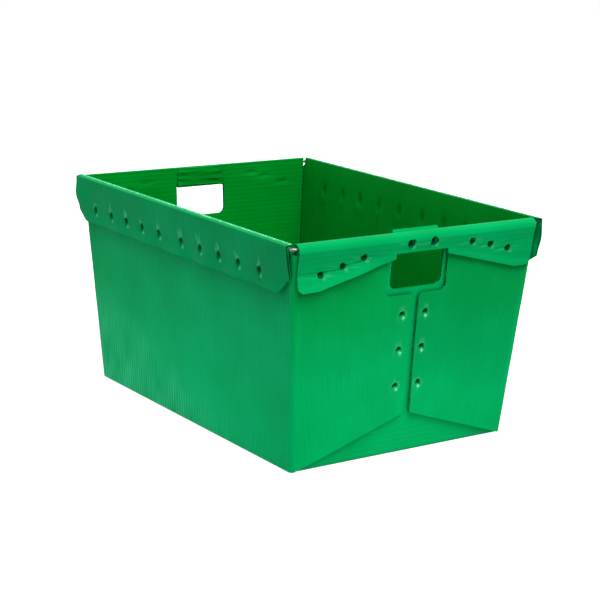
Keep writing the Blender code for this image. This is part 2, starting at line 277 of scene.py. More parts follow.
def new_object(name, mesh):
    """Object linked to the scene."""
    obj = bpy.data.objects.new(name, mesh)
    bpy.context.scene.collection.objects.link(obj)
    return obj


def evaluated_mesh(obj):
    """Copy of an object's mesh with its modifiers applied; the object is removed."""
    bpy.context.view_layer.update()
    evaluated = obj.evaluated_get(bpy.context.evaluated_depsgraph_get())
    mesh = bpy.data.meshes.new_from_object(evaluated)
    bpy.data.objects.remove(obj, do_unlink=True)
    return mesh


def die(outlines):
    """Prism through the sheet for the first outline, with the others as holes in it."""
    curve = bpy.data.curves.new("die", "CURVE")
    curve.dimensions = "2D"
    curve.fill_mode = "BOTH"
    curve.extrude = 2 * SHEET
    for outline in outlines:
        spline = curve.splines.new("POLY")
        spline.points.add(len(outline) - 1)
        for target, point in zip(spline.points, outline):
            target.co = (point[0], point[1], 0, 1)
        spline.use_cyclic_u = True
    mesh = evaluated_mesh(new_object("die", curve))
    tidy(mesh, weld=True)
    return new_object("die", mesh)


def tidy(mesh, weld=False):
    """Point every face outwards, after welding loose edges where asked."""
    model = bmesh.new()
    model.from_mesh(mesh)
    if weld:
        bmesh.ops.remove_doubles(model, verts=model.verts, dist=0.01 * MM)
    bmesh.ops.recalc_face_normals(model, faces=model.faces)
    model.to_mesh(mesh)
    model.free()


def weld_cup(radius, deep, slant, tall, luck):
    """Melted pit of a spot weld: points (x, y, depth, darkness) and its faces.

    Depth is below the pressed skin, and darkness is how dark the surface is made, as melted plastic and
    as painted shade in the recess. The pit is shallower on its +y side, which becomes its lower side
    when the sheet is folded, and the darkness fades there, leaving the upward-facing part light.
    """
    in_sheet = min(SHEET - 0.1 * MM, deep)
    profile = (
        (0.0, deep + 0.25 * MM),
        (radius * 0.50, deep + 0.25 * MM),
        (radius * 0.68, in_sheet + 0.05 * MM),
        (radius * 1.10, in_sheet),
        (radius * 1.12, 0.1 * MM),
        (radius * 1.34, 0.0),
        (radius * 1.30, -0.20 * MM),
        (radius * 1.14, -0.34 * MM),
        (radius * 1.02, -0.15 * MM),
        (radius * 0.94, 0.5 * MM),
        (radius * 0.78, deep * 0.45),
        (radius * 0.52, deep * 0.82),
        (radius * 0.25, deep * 0.97),
        (0.0, deep),
    )
    pit = 10
    phase = luck.uniform(0, math.tau)
    points = []
    for number, (distance, depth) in enumerate(profile):
        ragged = 0.08 if number > 4 else 0.0
        for side in range(WELD_SIDES if distance else 1):
            turn = math.tau * side / WELD_SIDES
            wobble = math.sin(3 * turn + phase) + 0.6 * math.sin(5 * turn + 2 * phase)
            reach = distance * (1 + ragged * wobble)
            x, y = reach * math.cos(turn), reach * math.sin(turn) * tall
            pit_darkness = 0.0
            if number >= pit:
                rise = max(0.0, y / radius + 0.1)
                depth_here = depth * (1 - slant * min(1.0, 1.6 * rise))
                pit_darkness = 1.0 - min(1.0, 2.5 * slant * rise)
            else:
                depth_here = depth
            points.append((x, y, depth_here, pit_darkness))
    faces = []
    rings = len(profile) - 2
    last = 1 + rings * WELD_SIDES
    for side in range(WELD_SIDES):
        beside = (side + 1) % WELD_SIDES
        faces.append((0, 1 + side, 1 + beside))
        for ring in range(rings - 1):
            here = 1 + ring * WELD_SIDES
            there = here + WELD_SIDES
            faces.append((here + side, there + side, there + beside, here + beside))
        end = last - WELD_SIDES
        faces.append((end + side, last, end + beside))
    return points, faces


def punched(stock, outlines):
    """Mesh of the stock inside the first outline; the die shifts a hair where the cut fails."""
    mesh = stock.data
    for nudge in (0.0, 0.017 * MM, -0.023 * MM, 0.041 * MM):
        cutter = die(outlines)
        cutter.location = (nudge, nudge, 0)
        trial = new_object("trial", mesh.copy())
        trim = trial.modifiers.new("trim", "BOOLEAN")
        trim.operation = "INTERSECT"
        trim.object = cutter
        result = evaluated_mesh(trial)
        bpy.data.objects.remove(cutter, do_unlink=True)
        if same_extent(result, outlines[0]):
            bpy.data.objects.remove(stock, do_unlink=True)
            return result
    raise RuntimeError("the sheet could not be cut")


def same_extent(mesh, outline):
    """Whether a cut sheet reaches as far as its outline and no further."""
    if not mesh.vertices:
        return False
    for axis in (0, 1):
        made = [vertex.co[axis] for vertex in mesh.vertices]
        asked = [point[axis] for point in outline]
        if max(abs(min(made) - min(asked)), abs(max(made) - max(asked))) > 0.2 * MM:
            return False
    return True


def cut_sheet(name, flat, outline, holes=(), swap=False, welds=(), face=1):
    """Cut a flat sheet to its outline and set its welds in the skin that face names.

    A weld is (a, b) and its kind. face is 1 for the skin at full depth and -1 for the other.
    """
    points, faces = flat
    if swap:
        points = points[:, [1, 0, 2]]
    mesh = bpy.data.meshes.new(name)
    mesh.from_pydata(points.tolist(), [], faces)
    tidy(mesh)
    stock = new_object(name, mesh)
    rings = [circle(weld[:2], weld[2] * 1.14, tall=weld[5]) for weld in welds]
    mesh = punched(stock, [outline, *holes, *rings])
    luck = random.Random(name)
    model = bmesh.new()
    model.from_mesh(mesh)
    # Darkness of the weld pits: melted plastic together with painted shade in the recess.
    melt_and_pit_shade = model.verts.layers.float.new("melt_and_pit_shade")
    for a, b, *kind in welds:
        cup_points, cup_faces = weld_cup(*kind, luck)
        made = []
        for x, y, depth, pit_darkness in cup_points:
            n = SHEET - depth if face > 0 else depth
            corner = model.verts.new((a + x, b - face * y, n))
            corner[melt_and_pit_shade] = pit_darkness
            made.append(corner)
        for loop in cup_faces:
            model.faces.new([made[index] for index in loop])
    bmesh.ops.recalc_face_normals(model, faces=model.faces)
    model.to_mesh(mesh)
    model.free()
    mesh.name = name
    return new_object(name, mesh)


def keep_flat(mesh, places):
    """Store each point's place across and along the flutes or the wire."""
    layer = mesh.attributes.new("flat", "FLOAT_VECTOR", "POINT")
    layer.data.foreach_set("vector", np.ascontiguousarray(places).ravel())


def keep_value(mesh, name, values):
    """Store one number for each point."""
    mesh.attributes.new(name, "FLOAT", "POINT").data.foreach_set("value", values)


def fold(obj, shape, swap=False, stress_and_highlight=None, deep=None, inside=None, painted_warm_shade=None):
    """Bend a flat piece with shape(a, b, n) and store what its material reads.

    stress, deep and warm give from 0 to 1 how whitened a point is by strain and by painted highlights
    and sheen, how dark it is in painted shade, and how far it takes a yellower painted shade.
    inside is the depth of the skin that keeps the plain green; the other skin takes that yellower
    painted shade, which stands for the light that reaches the inside of the tote through and between its
    walls.
    """
    mesh = obj.data
    flat = np.empty(len(mesh.vertices) * 3)
    mesh.vertices.foreach_get("co", flat)
    flat = flat.reshape(-1, 3)
    a, b, n = flat.T
    mesh.vertices.foreach_set("co", np.ascontiguousarray(shape(a, b, n)).ravel())
    nothing = np.zeros(len(a))
    keep_flat(mesh, flat[:, [1, 0, 2]] if swap else flat)
    keep_value(mesh, "stress_and_highlight", np.clip(stress_and_highlight(a, b, n), 0, 1) if stress_and_highlight else nothing)
    keep_value(mesh, "deep", np.clip(deep(a, b, n), 0, 1) if deep else nothing)
    shaded = np.abs(n - inside) / SHEET if inside is not None else nothing
    keep_value(mesh, "inside", np.clip(painted_warm_shade(a, b), 0, 1) if painted_warm_shade else shaded)
    tidy(mesh)
    mesh.shade_smooth()
    mesh.set_sharp_from_angle(angle=math.radians(SMOOTH_BELOW))
    mesh.update()


# ------------------------------------------------------------------ folds

class Wall:
    """One sloping wall: u is x or y along it, level is outwards from its inner face."""

    def __init__(self, across_x, sign, base_half, slope):
        self.across_x = across_x
        self.sign = sign
        self.base_half = base_half
        self.slope = slope

    def place(self, u, level, height):
        """World points for arrays of places on the wall."""
        out = self.sign * (self.base_half + height * self.slope + level)
        if self.across_x:
            return np.stack([out, u, height], axis=-1)
        return np.stack([u, out, height], axis=-1)


SIDES = {
    "left": Wall(False, -1, BASE_HALF_WIDTH, SIDE_SLOPE),
    "right": Wall(False, 1, BASE_HALF_WIDTH, SIDE_SLOPE),
}
ENDS = {
    "near": Wall(True, 1, BASE_HALF_LENGTH, END_SLOPE),
    "far": Wall(True, -1, BASE_HALF_LENGTH, END_SLOPE),
}


def ramp(value, low, high):
    """Smooth step from 0 at low to 1 at high."""
    share = np.clip((value - low) / (high - low), 0, 1)
    return share * share * (3 - 2 * share)


class Profile:
    """Section of a folded sheet: its two skins as (level, height) lines with matching points."""

    def __init__(self, skins, measured=0):
        self.skins = [np.array(skin) for skin in skins]
        runs = np.diff(self.skins[measured], axis=0)
        self.length = np.concatenate([[0], np.cumsum(np.hypot(runs[:, 0], runs[:, 1]))])
        self.start = 0.0

    def at(self, b, n):
        """Level and height at a distance b along the section and a depth n into it."""
        share = n / SHEET
        result = []
        for axis in (0, 1):
            one, two = (np.interp(b + self.start, self.length, skin[:, axis]) for skin in self.skins)
            result.append(one + (two - one) * share)
        return result

    def beyond(self, height):
        """Distance b to a height on the stretch that comes down after the rim."""
        heights = self.skins[0][:, 1]
        top = int(np.argmax(heights)) + 2
        return float(np.interp(-height, -heights[top:], self.length[top:])) - self.start


def arc(centre, reach, start, end, steps):
    """Points on an ellipse arc between two angles."""
    turns = [start + (end - start) * step / steps for step in range(steps + 1)]
    return [(centre[0] + reach[0] * math.cos(t), centre[1] + reach[1] * math.sin(t)) for t in turns]


def rim_profile(lean, turn, reach, drop, wall_points):
    """Up the wall, leaning out to the rim crease of radius turn, over the wire and down."""
    crease = (turn, turn)
    outer = [(0.0, -5 * MM), (0.0, 0.0), (0.0, 286 * MM)]
    top = (lean + turn, RIM - turn)
    outer += arc(top, crease, math.pi, QUARTER, CREASE_STEPS)
    start = (top[0] + 0.5 * MM, RIM - drop)
    outer += arc(start, (reach - start[0], drop), QUARTER, 0, BULLNOSE_STEPS)
    hug = WIRE_RADIUS + WIRE_CLEARANCE
    crease = (CREASE_INSIDE, CREASE_INSIDE)
    pinch = (SHEET + CREASE_INSIDE, WIRE_HEIGHT + 0.7 * hug - CREASE_INSIDE)
    inner = [(SHEET, -5 * MM), (SHEET, 0.0), (SHEET, 286 * MM)]
    inner += arc(pinch, crease, math.pi, QUARTER * 1.2, CREASE_STEPS)
    inner += arc((WIRE_OFFSET, WIRE_HEIGHT), (hug, hug), QUARTER * 1.4, 0, BULLNOSE_STEPS)
    outer += wall_points
    inner += [(level - SHEET, height) for level, height in wall_points]
    profile = Profile((outer, inner))
    profile.start = 5 * MM
    over = 3 + CREASE_STEPS + 1
    profile.split = profile.length[over - 1 - CREASE_STEPS // 2] - profile.start
    profile.bullnose = profile.length[over] - profile.start
    profile.shoulder = profile.length[over + BULLNOSE_STEPS] - profile.start
    return profile


SIDE_PROFILE = rim_profile(1.2 * MM, 0.6 * MM, ROOF_REACH - 1.2 * MM, 1.8 * MM, (
    (ROOF_REACH - 1.1 * MM, 296 * MM),
    (ROOF_REACH - 1.3 * MM, 289 * MM),
    (SIDE_PRESSED + 2.1 * MM, 275 * MM),
    (SIDE_PRESSED + 0.5 * MM, 264 * MM),
    (SIDE_PRESSED, 258 * MM),
    (SIDE_PRESSED + 0.2 * MM, 250 * MM),
    (SIDE_PRESSED + 0.6 * MM, 225 * MM),
))
END_PROFILE = rim_profile(0.0, 1.5 * MM, ROOF_REACH, 11 * MM, (
    (END_PRESSED + 0.1 * MM, 288 * MM),
    (END_PRESSED, 225 * MM),
))


def rounded_foot(level, height, n):
    """Level of a wall point with the outer skin drawn in at the bottom crease."""
    rise = np.clip(FOOT_RADIUS - height, 0, FOOT_RADIUS)
    return level - (FOOT_RADIUS - np.sqrt(FOOT_RADIUS ** 2 - rise ** 2)) * n / SHEET


def weld_hills(a, b, welds, width_a, width_b):
    """Hills of height 1 over the welds, joined where they overlap."""
    total = 0.0
    for weld in welds:
        total = total + bump(a - weld[0], width_a) * bump(b - weld[1], width_b)
    return np.minimum(total, 1.0)


def sheet_piece(name, flat, outline, shape, nodes, swap=False, looks=None, **cuts):
    """Cut a flat sheet, fold it and stand it in for its CAD nodes."""
    obj = cut_sheet(name, flat, outline, swap=swap, **cuts)
    fold(obj, shape, swap, **(looks or {}))
    obj.data.materials.clear()
    obj.data.materials.append(GREEN)
    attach(obj, "root")
    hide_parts(*nodes)


# ------------------------------------------------------------------ materials

def new_material(name):
    """Node material with its Principled shader and a helper that adds linked nodes."""
    result = bpy.data.materials.new(name)
    result.use_nodes = True
    tree = result.node_tree
    shader = tree.nodes["Principled BSDF"]

    def add(kind, links=(), **values):
        node = tree.nodes.new(kind)
        for key, value in values.items():
            if key in node.inputs:
                node.inputs[key].default_value = value
            else:
                setattr(node, key, value)
        for source, target in links:
            tree.links.new(source, node.inputs[target])
        return node

    return result, tree, shader, add


def two_tones(add, pattern, dark_at, dark, pale_at, pale):
    """Colour that goes from dark to pale between two levels of a pattern."""
    node = add("ShaderNodeValToRGB", [(pattern.outputs["Fac"], "Fac")])
    for element, level, colour in zip(node.color_ramp.elements, (dark_at, pale_at), (dark, pale)):
        element.position = level
        element.color = (*colour, 1)
    return node.outputs["Color"]


def between(add, source, low, high):
    """Value that goes from low to high as its source goes from 0 to 1."""
    node = add("ShaderNodeMapRange", [(source, "Value")])
    node.inputs["To Min"].default_value = low
    node.inputs["To Max"].default_value = high
    return node.outputs["Result"]


# What each stored value does to the green: the tint and how it is mixed in, in this order
TINTS = (
    # yellower painted shade on the skins facing into the tote, for the light that reaches them through
    # and between the walls
    ("inside", (1.0, 0.72, 0.18), "MULTIPLY"),
    # painted shade
    ("deep", (0.76, 0.76, 0.80), "MULTIPLY"),
    # whitening by strain, with painted highlights, glints and sheen
    ("stress_and_highlight", (0.16, 0.72, 0.40), "MIX"),
    # weld pits darkened as melted plastic and with painted shade in the recess
    ("melt_and_pit_shade", (0.14, 0.14, 0.10), "MULTIPLY"),
)


def green_sheet():
    """Extruded plastic: die streaks along the flutes, soft cloudiness and the stored tones: painted
    shade, a yellower painted shade inside, whitening by strain with painted highlights and sheen, and
    weld pits darkened as melted plastic and with painted shade.
    """
    result, tree, shader, add = new_material("green_fluted_plastic")
    flat = add("ShaderNodeAttribute", attribute_name="flat")
    place = add("ShaderNodeTexCoord").outputs["Object"]
    stretch = add("ShaderNodeMapping", [(flat.outputs["Vector"], "Vector")], Scale=(900, 14, 0))
    streaks = add("ShaderNodeTexNoise", [(stretch.outputs[0], "Vector")], Scale=1.0, Detail=3.0)
    clouds = add("ShaderNodeTexNoise", [(place, "Vector")], Scale=14.0, Detail=2.0)
    grain = add("ShaderNodeTexNoise", [(place, "Vector")], Scale=900.0, Detail=2.0)
    base = two_tones(add, clouds, 0.3, (0.0, 0.272, 0.070), 0.7, (0.0, 0.310, 0.086))
    tone = two_tones(add, streaks, 0.3, (0.90, 0.90, 0.90), 0.7, (1, 1, 1))
    mixed = add("ShaderNodeMix", data_type="RGBA", blend_type="MULTIPLY")
    mixed.inputs[0].default_value = 1.0
    tree.links.new(base, mixed.inputs[6])
    tree.links.new(tone, mixed.inputs[7])
    for stored, tint, blend in TINTS:
        amount = add("ShaderNodeAttribute", attribute_name=stored)
        under = mixed
        mixed = add("ShaderNodeMix", data_type="RGBA", blend_type=blend)
        mixed.inputs[7].default_value = (*tint, 1)
        tree.links.new(amount.outputs["Fac"], mixed.inputs[0])
        tree.links.new(under.outputs[2], mixed.inputs[6])
    tree.links.new(mixed.outputs[2], shader.inputs["Base Color"])
    tree.links.new(between(add, grain.outputs["Fac"], 0.36, 0.52), shader.inputs["Roughness"])
    ripple = add("ShaderNodeBump", [(streaks.outputs["Fac"], "Height")], Strength=0.25, Distance=0.0002)
    skin = add(
        "ShaderNodeBump",
        [(grain.outputs["Fac"], "Height"), (ripple.outputs["Normal"], "Normal")],
        Strength=0.12,
        Distance=0.0002,
    )
    tree.links.new(skin.outputs["Normal"], shader.inputs["Normal"])
    shader.inputs["Specular IOR Level"].default_value = 0.02
    shader.inputs["Specular Tint"].default_value = (0.05, 1.0, 0.5, 1)
    return result


def drawn_steel():
    """Drawn wire with fine lines along it and a little dull oxide."""
    result, tree, shader, add = new_material("drawn_steel_wire")
    flat = add("ShaderNodeAttribute", attribute_name="flat")
    place = add("ShaderNodeTexCoord").outputs["Object"]
    stretch = add("ShaderNodeMapping", [(flat.outputs["Vector"], "Vector")], Scale=(2600, 30, 0))
    lines = add("ShaderNodeTexNoise", [(stretch.outputs[0], "Vector")], Scale=1.0, Detail=2.0)
    oxide = add("ShaderNodeTexNoise", [(place, "Vector")], Scale=160.0, Detail=4.0)
    base = two_tones(add, oxide, 0.35, (0.08, 0.085, 0.08), 0.6, (0.25, 0.265, 0.255))
    tree.links.new(base, shader.inputs["Base Color"])
    tree.links.new(between(add, oxide.outputs["Fac"], 0.22, 0.42), shader.inputs["Roughness"])
    scratch = add("ShaderNodeBump", [(lines.outputs["Fac"], "Height")], Strength=0.3, Distance=0.0001)
    tree.links.new(scratch.outputs["Normal"], shader.inputs["Normal"])
    shader.inputs["Metallic"].default_value = 1.0
    return result


GREEN = green_sheet()
STEEL = drawn_steel()


# ------------------------------------------------------------------ long sides

SIDE_WELD_LEVEL = 258.5 * MM
SIDE_WELDS = {
    "left": [-230, -183, -139, -94, -48, 11, 60, 106, 153, 202],
    "right": [-207, -158, -114, -66, -17, 37, 87, 134, 181, 226],
}
FLANGE_SPAN = {"left": (-278 * MM, 269 * MM), "right": (-269 * MM, 276 * MM)}


def corner_edge(height):
    """Half length of a side panel at a height, where the corner bend starts."""
    return BASE_HALF_LENGTH + FLAP_INNER - CORNER_INSIDE + height * END_SLOPE


def side_welds(which, b):
    """Weld places of a side at a distance along its section."""
    return [(x * MM, b) for x in SIDE_WELDS[which]]


def side_bow(which):
    """How far a side panel stands out from flat, fading to its edges and to the welded rim."""
    lumps = soft_noise("side" + which, 130 * MM)

    def bow(a, b):
        inside = np.cos(np.clip(a / corner_edge(0), -1, 1) * QUARTER)
        return 0.7 * MM * lumps(a, b) * inside * ramp(b, 0, 40 * MM) * (1 - ramp(b, 190 * MM, 240 * MM))

    return bow


def side_panel(which):
    """Long side from the bottom crease to the rim crease."""
    wall = SIDES[which]
    bow = side_bow(which)
    back = side_welds(which, SIDE_WELD_LEVEL + 3 * MM)
    dents = soft_noise("panel" + which, 15 * MM)
    luck = random.Random("dent" + which)
    depths = [luck.uniform(1.9, 2.5) * MM for _ in back]

    def shape(a, b, n):
        level, height = SIDE_PROFILE.at(b, n)
        level = rounded_foot(level, height, n) + bow(a, b)
        inner = 1 - n / SHEET
        for (x, place), depth in zip(back, depths):
            pit = bump(a - x, 4.2 * MM) * bump(b - place, 7 * MM)
            pucker = bump(a - x, 9 * MM) * bump(b - place + 11 * MM, 9 * MM)
            level = level + inner * (depth * pit - 1.1 * MM * pucker)
        level = level + 0.22 * MM * dents(a, b * 0.35) * inner * bump(b - SIDE_WELD_LEVEL, 26 * MM)
        return wall.place(a, level, height)

    # Painted sheen: a pale highlight along the flute ridges of the outer skin, strongest low towards the
    # far end and mottled. The names scuff and worn here stand for this painted sheen.
    sheen_patches = soft_noise("scuff" + which, 9 * MM)
    clouds = soft_noise("worn" + which, 45 * MM)

    def stress_and_highlight(a, b, n):
        ridge = 0.5 + 0.5 * np.cos(math.tau * a / PITCH)
        worn = 1 - ramp(b + 0.35 * (a + 240 * MM), 30 * MM, 190 * MM)
        sheen_mottle = np.maximum(0.75 + 0.28 * sheen_patches(a, b * 0.3) + 0.28 * clouds(a, b), 0)
        return 0.24 * worn * ridge * sheen_mottle * (n > SHEET / 2)

    # Painted shade: on the outer skin, darker up the wall and most just under the rim flange; on the
    # inner skin, in the weld dents.
    def deep(a, b, n):
        shade = ramp(b, 195 * MM, 236 * MM) ** 2 * (0.6 + 0.4 * ramp(a, 0, 250 * MM))
        shade = shade + 0.45 * ramp(b, 20 * MM, 200 * MM)
        dark = np.zeros_like(a)
        for x, place in back:
            dark = dark + bump(a - x, 5 * MM) * bump(b - place - 3 * MM, 11 * MM)
        return np.where(n > SHEET / 2, shade * (np.abs(a) < 262 * MM), 1.3 * dark)

    shoulder = 294 * MM
    notch = 2.5 * MM
    half = [
        (corner_edge(0), 0),
        (corner_edge(shoulder), shoulder),
        (corner_edge(shoulder) - notch, shoulder),
        (corner_edge(shoulder) - notch, SIDE_PROFILE.split),
    ]
    outline = half + [(-a, b) for a, b in reversed(half)]
    across, cells = flute_cells(-corner_edge(RIM), corner_edge(RIM))
    zones = (
        (-2 * MM, 4 * MM, 1 * MM),
        (230 * MM, 244 * MM, 2 * MM),
        (244 * MM, 280 * MM, 4 * MM),
        (298 * MM, 320 * MM, 1 * MM),
    )
    along = steps_between(-2 * MM, SIDE_PROFILE.split + 2 * MM, 26 * MM, zones)
    flat = flat_sheet(across, cells, along, which, hollow=False)
    name = "side_panel_sheet_" + which
    nodes = ["side_panel_" + which]
    # The inner skin takes the yellower painted shade.
    looks = {"stress_and_highlight": stress_and_highlight, "deep": deep, "inside": SHEET}
    sheet_piece(name, flat, outline, shape, nodes, looks=looks)


def side_flange(which):
    """Rim of a long side: over the wire, down to the weld line and on to the free lower edge."""
    wall = SIDES[which]
    weld_b = SIDE_PROFILE.beyond(SIDE_WELD_LEVEL)
    low = SIDE_PROFILE.beyond(239.5 * MM)
    places = side_welds(which, weld_b)
    left, right = FLANGE_SPAN[which]
    springy = -1 if which == "left" else 1
    wrinkles = soft_noise("rim" + which, 5 * MM)
    waves = soft_noise("flange" + which, 34 * MM)
    luck = random.Random("streaks" + which)
    streaks = []
    for x, _ in places:
        for offset in (-3.3, 0.0, 3.3):
            middle = x + (offset + luck.uniform(-0.8, 0.8)) * MM
            streaks.append((middle, luck.uniform(-0.05, 0.05), luck.uniform(11, 24) * MM))

    chances = np.array([luck.random() for _ in range(200)])

    def flute_chance(a):
        return chances[np.floor(a / PITCH).astype(int) % len(chances)]

    def sunk(a, b):
        arch = np.sin(math.pi * (a / PITCH % 1))
        return 1.2 * MM * flute_chance(a) * arch * bump(b - SIDE_PROFILE.bullnose - 4 * MM, 4 * MM)

    def streaked(a, b, width):
        total = np.zeros_like(a)
        rise = weld_b - b
        for x, lean, tall in streaks:
            line = bump(a - x - lean * rise, width)
            total = total + line * ramp(rise, 3 * MM, 7 * MM) * (1 - ramp(rise, tall * 0.6, tall))
        return total

    def shape(a, b, n):
        level, height = SIDE_PROFILE.at(b, n)
        down = b - SIDE_PROFILE.shoulder
        hanging = ramp(down, 0, 36 * MM)
        hold = weld_hills(a, b, places, 10 * MM, 11 * MM)
        lift = 1.1 * MM * hanging * (1 - hold) * (0.75 + 0.5 * waves(a, b))
        spring = ramp(springy * (a - (left + right) / 2), 242 * MM, 273 * MM)
        lift = lift + 3.2 * MM * spring * bump(down - 26 * MM, 14 * MM)
        lift = lift + 1.6 * MM * ramp(b, weld_b + 5 * MM, low) * (1 + 0.4 * waves(a, b))
        lift = lift - 0.35 * MM * streaked(a, b, 1.6 * MM)
        lift = lift + 0.08 * MM * wrinkles(a * 0.6, b * 0.2) * ramp(down, 0, 12 * MM)
        over = ramp(b, SIDE_PROFILE.bullnose, SIDE_PROFILE.bullnose + 3 * MM)
        over = over * (1 - ramp(down, -6 * MM, 2 * MM))
        height = height - 0.30 * MM * over * (1 + wrinkles(a, b)) - sunk(a, b)
        level = level + np.maximum(lift, -0.3 * MM)
        return wall.place(a, level, height)

    # Whitening by strain in streaks above the welds; a painted highlight fleck in the lower side of each
    # weld pit, and painted glints along the rim crease on the left side only.
    def stress_and_highlight(a, b, n):
        marks = 0.28 * streaked(a, b, 1.2 * MM)
        for x, _ in places:
            marks = marks + 0.8 * bump(np.hypot(a - x - 3.6 * MM, b - weld_b - 5.0 * MM), 2.2 * MM)
        glint = (0.3 + 0.7 * flute_chance(a) * (a / PITCH % 1 < 0.6)) * (which == "left")
        return marks + glint * bump(b - SIDE_PROFILE.bullnose - 0.8 * MM, 1.6 * MM)

    # Painted shade: the outer face of the flange darker from just above its shoulder down; on the right
    # side the whole rim top, crease and roof, is dark too.
    def deep(a, b, n):
        face = ramp(b - SIDE_PROFILE.shoulder, -8 * MM, -4 * MM) * (n < SHEET / 2)
        if which == "right":
            face = np.maximum(face, (b < SIDE_PROFILE.shoulder) * 1.0)
        return face

    chamfers = [(21 * MM, SIDE_PROFILE.beyond(253 * MM)), (21 * MM, SIDE_PROFILE.beyond(262 * MM))]
    if which == "right":
        chamfers.reverse()
    corners = [
        (left, SIDE_PROFILE.split),
        (left, chamfers[0][1]),
        (left + chamfers[0][0], low),
        (right - chamfers[1][0], low),
        (right, chamfers[1][1]),
        (right, SIDE_PROFILE.split),
    ]
    outline = rounded(corners, (0, 5 * MM, 5 * MM, 5 * MM, 5 * MM, 0))
    across, cells = flute_cells(left - PITCH, right + PITCH)
    zones = (
        (SIDE_PROFILE.split - 2 * MM, SIDE_PROFILE.bullnose + 3 * MM, 0.6 * MM),
        (SIDE_PROFILE.bullnose + 3 * MM, SIDE_PROFILE.shoulder, 1.1 * MM),
        (SIDE_PROFILE.shoulder, low + 4 * MM, 3.2 * MM),
    )
    along = steps_between(SIDE_PROFILE.split - 2 * MM, low + 4 * MM, 4 * MM, zones)
    flat = flat_sheet(across, cells, along, "rim" + which)
    welds = [(a, b, *SIDE_WELD) for a, b in places]
    name = "side_rim_flange_sheet_" + which
    nodes = ["side_rim_flange_" + which]
    looks = {"stress_and_highlight": stress_and_highlight, "deep": deep}
    sheet_piece(name, flat, outline, shape, nodes, looks=looks, welds=welds, face=-1)


# ------------------------------------------------------------------ ends

END_WELDS = {
    "near": [(-157, 263), (-124, 271), (-92, 279), (83, 284), (115, 277), (146, 269)],
    "far": [(-157, 265), (-125, 274), (-95, 284), (91, 287), (117, 280), (151, 269)],
}
GRIP_WELDS = [(-18.5, 290), (18.5, 290)]


def millimetres(places):
    """Places given in millimetres, in metres."""
    return [(a * MM, b * MM) for a, b in places]


def end_edge(height):
    """Half width of an end panel at a height, just clear of the bend in the corner flap."""
    return BASE_HALF_WIDTH - 1.4 * MM + height * SIDE_SLOPE


def end_panel(which):
    """End wall with its hand hole, from the bottom crease to the rim crease."""
    wall = ENDS[which]
    back = [(a, b + 2 * MM) for a, b in millimetres(END_WELDS[which])]
    dents = soft_noise("end" + which, 16 * MM)

    def shape(a, b, n):
        level, height = END_PROFILE.at(b, n)
        level = rounded_foot(level, height, n)
        inner = 1 - n / SHEET
        for x, place in back:
            pit = bump(a - x, 7 * MM) * bump(b - place, 2.6 * MM)
            pucker = bump(a - x, 20 * MM) * bump(b - place + 6 * MM, 7 * MM)
            level = level + inner * (2.4 * MM * pit - 0.5 * MM * pucker)
        level = level + 0.25 * MM * inner * dents(a * 0.35, b) * ramp(b, 240 * MM, 262 * MM)
        return wall.place(a, level, height)

    # Painted shade in the weld dents on the inner skin, and a painted contact shadow as a dark line
    # along the bottom edge of the outer skin.
    def deep(a, b, n):
        return np.where(n < SHEET / 2, weld_hills(a, b, back, 7 * MM, 2.0 * MM), bump(b, 2.4 * MM))

    half = [(end_edge(0), 0), (end_edge(END_PROFILE.split), END_PROFILE.split)]
    outline = half + [(-a, b) for a, b in reversed(half)]
    hole = [(-HOLE_HALF, HOLE_LOW), (HOLE_HALF, HOLE_LOW), (HOLE_HALF, HOLE_TOP), (-HOLE_HALF, HOLE_TOP)]
    hole = rounded(hole, (HOLE_CORNER, HOLE_CORNER, 0.5 * MM, 0.5 * MM))
    fine = ((-1 * MM, 4 * MM), (300 * MM, 320 * MM))
    across, cells = flute_cells(-2 * MM, END_PROFILE.split + 1 * MM, fine)
    along = steps_between(-200 * MM, 200 * MM, 8 * MM)
    flat = flat_sheet(across, cells, along, "end" + which)
    name = "end_panel_sheet_" + which
    nodes = ["end_panel_" + which]
    # The inner skin takes the yellower painted shade.
    looks = {"deep": deep, "inside": SHEET}
    sheet_piece(name, flat, outline, shape, nodes, True, looks, holes=[hole])


def end_crease(a):
    """Height of the crease that the lower lip of an end flange turns out from."""
    places = np.array([-192, -150, -132, -102, -76]) * MM
    heights = np.array([266, 266, 267, 274, 276]) * MM
    return np.interp(a, places, heights)


def flange_edge(y):
    """Height of an end flange's free lower edge at a distance from the middle."""
    return np.interp(y, np.array([42, 160, 190]) * MM, np.array([272.5, 244, 243]) * MM)


